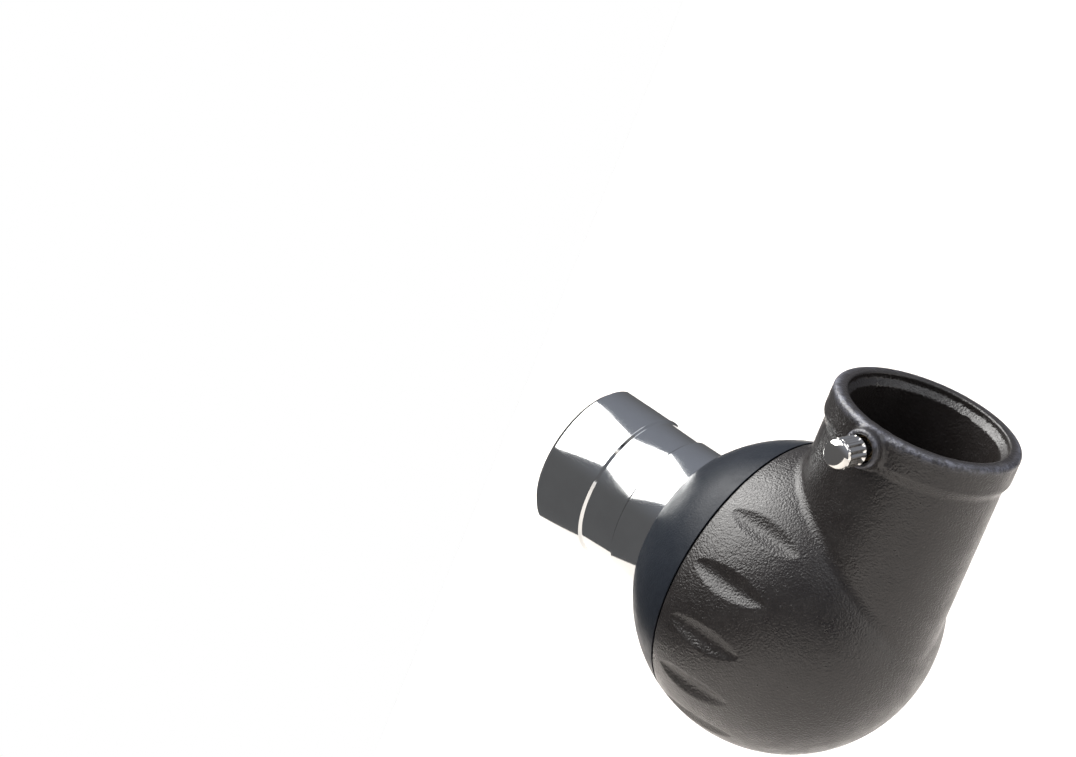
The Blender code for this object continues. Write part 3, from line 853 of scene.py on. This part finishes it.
def noise(tree, place, scale, detail=2.0, roughness=0.5, distortion=0.0):
    """Smooth noise, mostly between 0.3 and 0.7."""
    made = add(
        tree, "ShaderNodeTexNoise", None, Vector=place, Scale=scale, Detail=detail, Roughness=roughness,
        Distortion=distortion,
    )
    return made.outputs["Fac"]


def cells(tree, place, scale):
    """The distance to the nearest of many scattered points."""
    made = add(tree, "ShaderNodeTexVoronoi", {"feature": "F1"}, Vector=place, Scale=scale)
    return made.outputs["Distance"]


def new_material(name):
    """A node material, its tree, its shader and the object's own coordinates."""
    material = bpy.data.materials.new(name)
    material.use_nodes = True
    tree = material.node_tree
    place = add(tree, "ShaderNodeTexCoord").outputs["Object"]
    return material, tree, tree.nodes["Principled BSDF"], place


def bump(tree, height, depth, strength=1.0, below=None):
    """A normal raised by a height, on top of the one below."""
    made = add(tree, "ShaderNodeBump", None, Height=height, Distance=depth, Strength=strength)
    if below is not None:
        tree.links.new(below, made.inputs["Normal"])
    return made.outputs["Normal"]


def attribute(tree, name):
    """A value that store() kept on the mesh."""
    return add(tree, "ShaderNodeAttribute", {"attribute_name": name}).outputs["Fac"]


def moulded_plastic(name, deep, light, roughness, grain_depth, gloss=0.5, parting=True):
    """Dark moulded plastic with a fine leather grain, edges lightened by handling and by a painted
    highlight, and the mould's parting line.
    """
    material, tree, shader, place = new_material(name)
    drift = noise(tree, place, 45.0, 3.0, 0.6)
    fleck = noise(tree, place, 900.0, 2.0, 0.6)
    shade = calc(tree, "ADD", calc(tree, "MULTIPLY", drift, 0.6), calc(tree, "MULTIPLY", fleck, 0.4))
    colour = mixed(tree, spread(tree, shade, 0.35, 0.65), (*deep, 1), (*light, 1))

    pebble = calc(tree, "SUBTRACT", 1.0, cells(tree, place, 2150.0))
    fine = noise(tree, place, 2300.0, 1.0, 0.5, 0.6)
    soft = noise(tree, place, 520.0, 2.0, 0.5)
    grain = calc(tree, "ADD", calc(tree, "MULTIPLY", pebble, 0.35), calc(tree, "MULTIPLY", fine, 0.55))
    grain = calc(tree, "ADD", grain, calc(tree, "MULTIPLY", soft, 0.1))

    wear_and_highlight = attribute(tree, "wear_and_highlight")
    wear_highlight_speckle = spread(tree, noise(tree, place, 700.0, 4.0, 0.75), 0.42, 0.62)
    rubbed_and_highlit = calc(tree, "MULTIPLY", wear_and_highlight, calc(tree, "ADD", calc(tree, "MULTIPLY", wear_highlight_speckle, 0.75), 0.25))
    # Paler bluish colour along the edge band: partly worn plastic, partly a painted edge highlight.
    colour = mixed(tree, calc(tree, "MULTIPLY", rubbed_and_highlit, 0.75), colour, (0.13, 0.135, 0.165, 1))
    connect(tree, colour, shader.inputs["Base Color"])

    rough = spread(tree, noise(tree, place, 260.0, 3.0, 0.6), 0.3, 0.7, roughness - 0.05, roughness + 0.06)
    rough = calc(tree, "ADD", rough, calc(tree, "MULTIPLY", rubbed_and_highlit, 0.05))
    connect(tree, rough, shader.inputs["Roughness"])
    shader.inputs["IOR"].default_value = 1.49
    shader.inputs["Specular IOR Level"].default_value = gloss

    normal = bump(tree, grain, grain_depth, 1.0)
    if parting:
        y = add(tree, "ShaderNodeSeparateXYZ", None, Vector=place)
        line = spread(tree, calc(tree, "ABSOLUTE", y.outputs["Y"]), 0.03 * MM, 0.17 * MM, 1.0, 0.0)
        rear = spread(tree, y.outputs["X"], BALL_X, BALL_X + 6 * MM)
        line = calc(tree, "MULTIPLY", calc(tree, "MULTIPLY", line, rear), attribute(tree, "outside"))
        normal = bump(tree, line, 0.06 * MM, 1.0, normal)
    connect(tree, normal, shader.inputs["Normal"])
    return material


def plated(name, colour, roughness, axis, smudge=0.06):
    """Polished plating over turned metal: faint tool lines along its axis, smudges and fine pits."""
    material, tree, shader, place = new_material(name)
    cloud = noise(tree, place, 120.0, 4.0, 0.6)
    tint = mixed(tree, spread(tree, cloud, 0.3, 0.7), (*colour, 1), (*[0.93 * c for c in colour], 1))
    connect(tree, tint, shader.inputs["Base Color"])
    shader.inputs["Metallic"].default_value = 1.0
    rough = spread(tree, cloud, 0.35, 0.75, roughness, roughness + smudge)
    connect(tree, rough, shader.inputs["Roughness"])
    stretch = tuple(1.0 if letter == axis else 0.02 for letter in "XYZ")
    along = add(tree, "ShaderNodeMapping", None, Vector=place, Scale=stretch).outputs["Vector"]
    tool = noise(tree, along, 3600.0, 2.0, 0.7)
    pits = noise(tree, place, 2600.0, 2.0, 0.5)
    height = calc(tree, "ADD", tool, calc(tree, "MULTIPLY", pits, 0.35))
    connect(tree, bump(tree, height, 0.0012 * MM), shader.inputs["Normal"])
    return material


def flat_black(name, colour=0.012, roughness=0.75, depth=0.012 * MM):
    """Dull black paint or plastic with a fine speckle."""
    material, tree, shader, place = new_material(name)
    speck = noise(tree, place, 1500.0, 3.0, 0.7)
    dark = (colour, colour, colour * 1.03, 1)
    pale = (2.2 * colour, 2.2 * colour, 2.3 * colour, 1)
    connect(tree, mixed(tree, spread(tree, speck, 0.4, 0.75), dark, pale), shader.inputs["Base Color"])
    rough = spread(tree, speck, 0.3, 0.7, roughness - 0.08, roughness + 0.08)
    connect(tree, rough, shader.inputs["Roughness"])
    connect(tree, bump(tree, speck, depth), shader.inputs["Normal"])
    return material


def anodised(name):
    """Black anodised aluminium with turning lines."""
    material, tree, shader, place = new_material(name)
    cloud = noise(tree, place, 300.0, 3.0, 0.6)
    colour = mixed(tree, cloud, (0.012, 0.012, 0.014, 1), (0.03, 0.03, 0.034, 1))
    connect(tree, colour, shader.inputs["Base Color"])
    shader.inputs["Metallic"].default_value = 0.7
    connect(tree, spread(tree, cloud, 0.3, 0.7, 0.3, 0.42), shader.inputs["Roughness"])
    along = add(tree, "ShaderNodeMapping", None, Vector=place, Scale=(1, 0.05, 0.05)).outputs["Vector"]
    connect(tree, bump(tree, noise(tree, along, 3000.0), 0.004 * MM), shader.inputs["Normal"])
    return material


def prism_glass(name):
    """Polished optical faces with a coating's tint, and ground faces at the sides and both ends."""
    material, tree, shader, place = new_material(name)
    low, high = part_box("prism")
    axes = add(tree, "ShaderNodeSeparateXYZ", None, Vector=place)
    edge = 0.12 * MM
    side = calc(tree, "GREATER_THAN", calc(tree, "ABSOLUTE", axes.outputs["Y"]), high.y - edge)
    foot = calc(tree, "LESS_THAN", axes.outputs["Z"], low.z + edge)
    back = calc(tree, "GREATER_THAN", axes.outputs["X"], high.x - edge)
    ground = calc(tree, "MAXIMUM", side, calc(tree, "MAXIMUM", foot, back))
    frost = noise(tree, place, 1800.0, 3.0, 0.7)
    colour = mixed(tree, ground, (0.97, 0.99, 1.0, 1), (0.62, 0.64, 0.64, 1))
    connect(tree, colour, shader.inputs["Base Color"])
    smooth = spread(tree, noise(tree, place, 90.0), 0.3, 0.7, 0.004, 0.02)
    matt = calc(tree, "ADD", 0.35, calc(tree, "MULTIPLY", frost, 0.3))
    rough = calc(tree, "ADD", smooth, calc(tree, "MULTIPLY", ground, matt))
    connect(tree, rough, shader.inputs["Roughness"])
    shader.inputs["IOR"].default_value = 1.52
    clear = calc(tree, "SUBTRACT", 1.0, calc(tree, "MULTIPLY", ground, 0.85))
    connect(tree, clear, shader.inputs["Transmission Weight"])
    shader.inputs["Specular Tint"].default_value = (0.55, 0.42, 0.85, 1)
    normal = bump(tree, frost, 0.01 * MM, calc(tree, "MULTIPLY", ground, 0.6))
    connect(tree, normal, shader.inputs["Normal"])
    return material


def cork_sheet(name):
    """Pressed cork: tan granules with dark gaps."""
    material, tree, shader, place = new_material(name)
    granule = add(tree, "ShaderNodeTexVoronoi", {"feature": "F1"}, Vector=place, Scale=1100.0)
    tone = add(tree, "ShaderNodeSeparateXYZ", None, Vector=granule.outputs["Color"]).outputs["X"]
    colour = mixed(tree, tone, (0.24, 0.13, 0.06, 1), (0.50, 0.33, 0.18, 1))
    gap = spread(tree, granule.outputs["Distance"], 0.35, 0.7)
    colour = mixed(tree, calc(tree, "MULTIPLY", gap, 0.6), colour, (0.09, 0.05, 0.025, 1))
    connect(tree, colour, shader.inputs["Base Color"])
    connect(tree, spread(tree, gap, 0.0, 1.0, 0.8, 0.95), shader.inputs["Roughness"])
    height = calc(tree, "SUBTRACT", noise(tree, place, 2500.0, 3.0), gap)
    connect(tree, bump(tree, height, 0.05 * MM), shader.inputs["Normal"])
    return material


def strip_steel(name, colour, roughness, axis_scale):
    """Rolled or plated steel with a grain along one direction and faint heat tint."""
    material, tree, shader, place = new_material(name)
    along = add(tree, "ShaderNodeMapping", None, Vector=place, Scale=axis_scale).outputs["Vector"]
    grain = noise(tree, along, 2200.0, 3.0, 0.6)
    cloud = noise(tree, place, 180.0, 3.0, 0.6)
    warm = tuple(c * k for c, k in zip(colour, (1.08, 0.98, 0.84)))
    tint = mixed(tree, spread(tree, cloud, 0.4, 0.7), (*colour, 1), (*warm, 1))
    connect(tree, tint, shader.inputs["Base Color"])
    shader.inputs["Metallic"].default_value = 1.0
    rough = spread(tree, grain, 0.3, 0.7, roughness - 0.07, roughness + 0.08)
    connect(tree, rough, shader.inputs["Roughness"])
    connect(tree, bump(tree, grain, 0.005 * MM), shader.inputs["Normal"])
    return material


def nylon(name):
    """Natural nylon, slightly see-through."""
    material, tree, shader, place = new_material(name)
    cloud = noise(tree, place, 500.0, 3.0, 0.6)
    colour = mixed(tree, cloud, (0.70, 0.67, 0.58, 1), (0.82, 0.80, 0.73, 1))
    connect(tree, colour, shader.inputs["Base Color"])
    connect(tree, spread(tree, cloud, 0.3, 0.7, 0.38, 0.52), shader.inputs["Roughness"])
    shader.inputs["Subsurface Weight"].default_value = 0.3
    shader.inputs["Subsurface Scale"].default_value = 1.0 * MM
    connect(tree, bump(tree, noise(tree, place, 2000.0, 2.0), 0.006 * MM), shader.inputs["Normal"])
    return material


def pale_floor(name):
    """A warm white sheet with a painted glow that grows far from the object, so that its back edge fades
    out.
    """
    material, tree, shader, place = new_material(name)
    colour = mixed(tree, noise(tree, place, 6.0, 2.0), (0.80, 0.75, 0.70, 1), (0.83, 0.78, 0.73, 1))
    connect(tree, colour, shader.inputs["Base Color"])
    shader.inputs["Roughness"].default_value = 0.8
    shader.inputs["Specular IOR Level"].default_value = 0.2
    away = add(tree, "ShaderNodeVectorMath", {"operation": "LENGTH"}, Vector=place).outputs["Value"]
    # Painted glow: the sheet gives off light, more the farther it lies from the object.
    shader.inputs["Emission Color"].default_value = (1, 1, 1, 1)
    connect(tree, spread(tree, away, *FLOOR_GLOW, 0.0, 0.9), shader.inputs["Emission Strength"])
    return material


# ---------------------------------------------------------------- stage

FLOOR_BELOW = 45.0 * MM
FLOOR_AZIMUTH = -60.0  # the way the sheet's front edge faces
FLOOR_FRONT, FLOOR_BACK = 65.0 * MM, 1500.0 * MM
FLOOR_HALF_WIDTH = 1200.0 * MM
FLOOR_GLOW = (450.0 * MM, 1300.0 * MM)
CAMERA_AZIMUTH = 26.70
CAMERA_ELEVATION = 23.22
CAMERA_DISTANCE = 1201.0 * MM
AIM_AZIMUTH = 29.98
AIM_ELEVATION = 22.23
CAMERA_ROLL = 22.19
LENS = 200.7


def backwards(azimuth, elevation):
    """The direction from what is looked at to whoever looks. Azimuth 0 looks along +Y."""
    a, e = math.radians(azimuth), math.radians(elevation)
    return Vector((math.sin(a) * math.cos(e), -math.cos(a) * math.cos(e), math.sin(e)))


def build_camera():
    """Looks past the ball, because the picture's middle lies between ball and telescope."""
    data = bpy.data.cameras.new("camera")
    data.lens = LENS
    data.sensor_width = 36.0
    data.clip_start, data.clip_end = 0.05, 20.0
    camera = bpy.data.objects.new("camera", data)
    bpy.context.scene.collection.objects.link(camera)
    ball = Vector((BALL_X, 0, 0))
    back = backwards(AIM_AZIMUTH, AIM_ELEVATION)
    level = Vector((0, 0, 1)).cross(back).normalized()
    upright = back.cross(level)
    roll = math.radians(CAMERA_ROLL)
    up = upright * math.cos(roll) - level * math.sin(roll)
    right = up.cross(back)
    turn = Matrix((right, up, back)).transposed().to_4x4()
    place = ball + backwards(CAMERA_AZIMUTH, CAMERA_ELEVATION) * CAMERA_DISTANCE
    camera.matrix_world = Matrix.Translation(place) @ turn
    bpy.context.scene.camera = camera


def softbox(name, azimuth, elevation, distance, width, height, power, colour):
    """A rectangle of light that faces the ball, as far away as distance says."""
    data = bpy.data.lights.new(name, "AREA")
    data.shape = "RECTANGLE"
    data.size, data.size_y = width, height
    data.energy = power
    data.color = colour
    light = bpy.data.objects.new(name, data)
    bpy.context.scene.collection.objects.link(light)
    away = backwards(azimuth, elevation)
    light.location = Vector((BALL_X, 0, 0)) + away * distance
    light.rotation_euler = away.to_track_quat("Z", "Y").to_euler()


def build_world():
    """White behind the object, and a grey room in its reflections."""
    world = bpy.data.worlds.new("studio")
    bpy.context.scene.world = world
    world.use_nodes = True
    tree = world.node_tree
    shader = tree.nodes["Background"]
    way = add(tree, "ShaderNodeTexCoord").outputs["Generated"]
    height = add(tree, "ShaderNodeSeparateXYZ", None, Vector=way).outputs["Z"]
    sky = mixed(tree, spread(tree, height, -0.1, 0.9), (0.16, 0.16, 0.165, 1), (0.34, 0.36, 0.42, 1))
    seen = add(tree, "ShaderNodeLightPath").outputs["Is Camera Ray"]
    connect(tree, mixed(tree, seen, sky, (1, 1, 1, 1)), shader.inputs["Color"])
    shader.inputs["Strength"].default_value = 1.0


def build_floor(material):
    """A sheet below the object, cut close on the side that the dark reflections need."""
    size = Vector((2 * FLOOR_HALF_WIDTH, FLOOR_BACK + FLOOR_FRONT, 1))
    middle = Vector((0, (FLOOR_BACK - FLOOR_FRONT) / 2, 0))
    mesh = bpy.data.meshes.new("floor")
    shape = bmesh.new()
    bmesh.ops.create_grid(shape, x_segments=8, y_segments=8, size=0.5)
    bmesh.ops.scale(shape, vec=size, verts=shape.verts)
    bmesh.ops.translate(shape, vec=middle, verts=shape.verts)
    shape.to_mesh(mesh)
    shape.free()
    mesh.materials.append(material)
    floor = bpy.data.objects.new("floor", mesh)
    floor.location = (BALL_X, 0, cad_low.z - FLOOR_BELOW)
    floor.rotation_euler.z = math.radians(FLOOR_AZIMUTH)
    bpy.context.scene.collection.objects.link(floor)


def build_lights():
    """Two softboxes on the left, one overhead and a weak fill from the right."""
    softbox("key", -61, 39, 1.3, 1.55, 1.45, 53.0, (1.0, 0.99, 0.97))
    softbox("left", -96, 32, 1.3, 0.55, 0.9, 10.0, (1.0, 0.99, 0.97))
    softbox("overhead", 100, 74, 1.4, 1.1, 1.1, 7.0, (0.97, 0.98, 1.0))
    softbox("right_fill", 105, 14, 1.2, 0.8, 1.0, 5.0, (1.0, 0.95, 0.89))


# ---------------------------------------------------------------- build

housing_plastic = moulded_plastic(
    "housing_plastic", (0.0095, 0.0078, 0.0072), (0.0135, 0.0115, 0.0110), 0.32, 0.18 * MM
)
cover_plastic = moulded_plastic(
    "cover_plastic", (0.0090, 0.0110, 0.0150), (0.0120, 0.0145, 0.0190), 0.36, 0.05 * MM, 0.11, False
)
barrel_chrome = plated("barrel_chrome", (0.549, 0.556, 0.554), 0.07, "X")
screw_chrome = plated("screw_chrome", (0.60, 0.585, 0.56), 0.05, "Y")
ring_black = anodised("ring_black")
baffle_black = flat_black("baffle_black")
cradle_black = flat_black("cradle_plastic", 0.016, 0.5, 0.02 * MM)
glass = prism_glass("prism_glass")
cork = cork_sheet("cork")
spring_steel = strip_steel("spring_steel", (0.52, 0.52, 0.54), 0.28, (1, 0.04, 1))
zinc = strip_steel("screw_steel", (0.50, 0.50, 0.51), 0.30, (1, 1, 1))
brass = plated("insert_brass", (0.20, 0.145, 0.08), 0.3, "Y", smudge=0.15)
tip_nylon = nylon("tip_nylon")

build_rear_housing(housing_plastic)
build_front_cover(cover_plastic)
build_nosepiece(barrel_chrome)
build_lock_ring(ring_black)
build_baffles(baffle_black)
build_thumbscrew(screw_chrome, brass, tip_nylon)
for screw_node in ("cradle_screw_left", "cradle_screw_right", "clip_screw_left", "clip_screw_right"):
    build_small_screw(screw_node, zinc)
eased("prism", "housing", glass, 0.25 * MM)
eased("prism_cradle", "housing", cradle_black, 0.3 * MM)
eased("prism_clip", "housing", spring_steel, 0.15 * MM)
for pad in ("cradle_pad_left", "cradle_pad_right", "clip_pad"):
    eased(pad, "housing", cork, 0.08 * MM)

build_camera()
build_world()
build_lights()
build_floor(pale_floor("pale_floor"))
bpy.context.scene.view_settings.view_transform = "Standard"
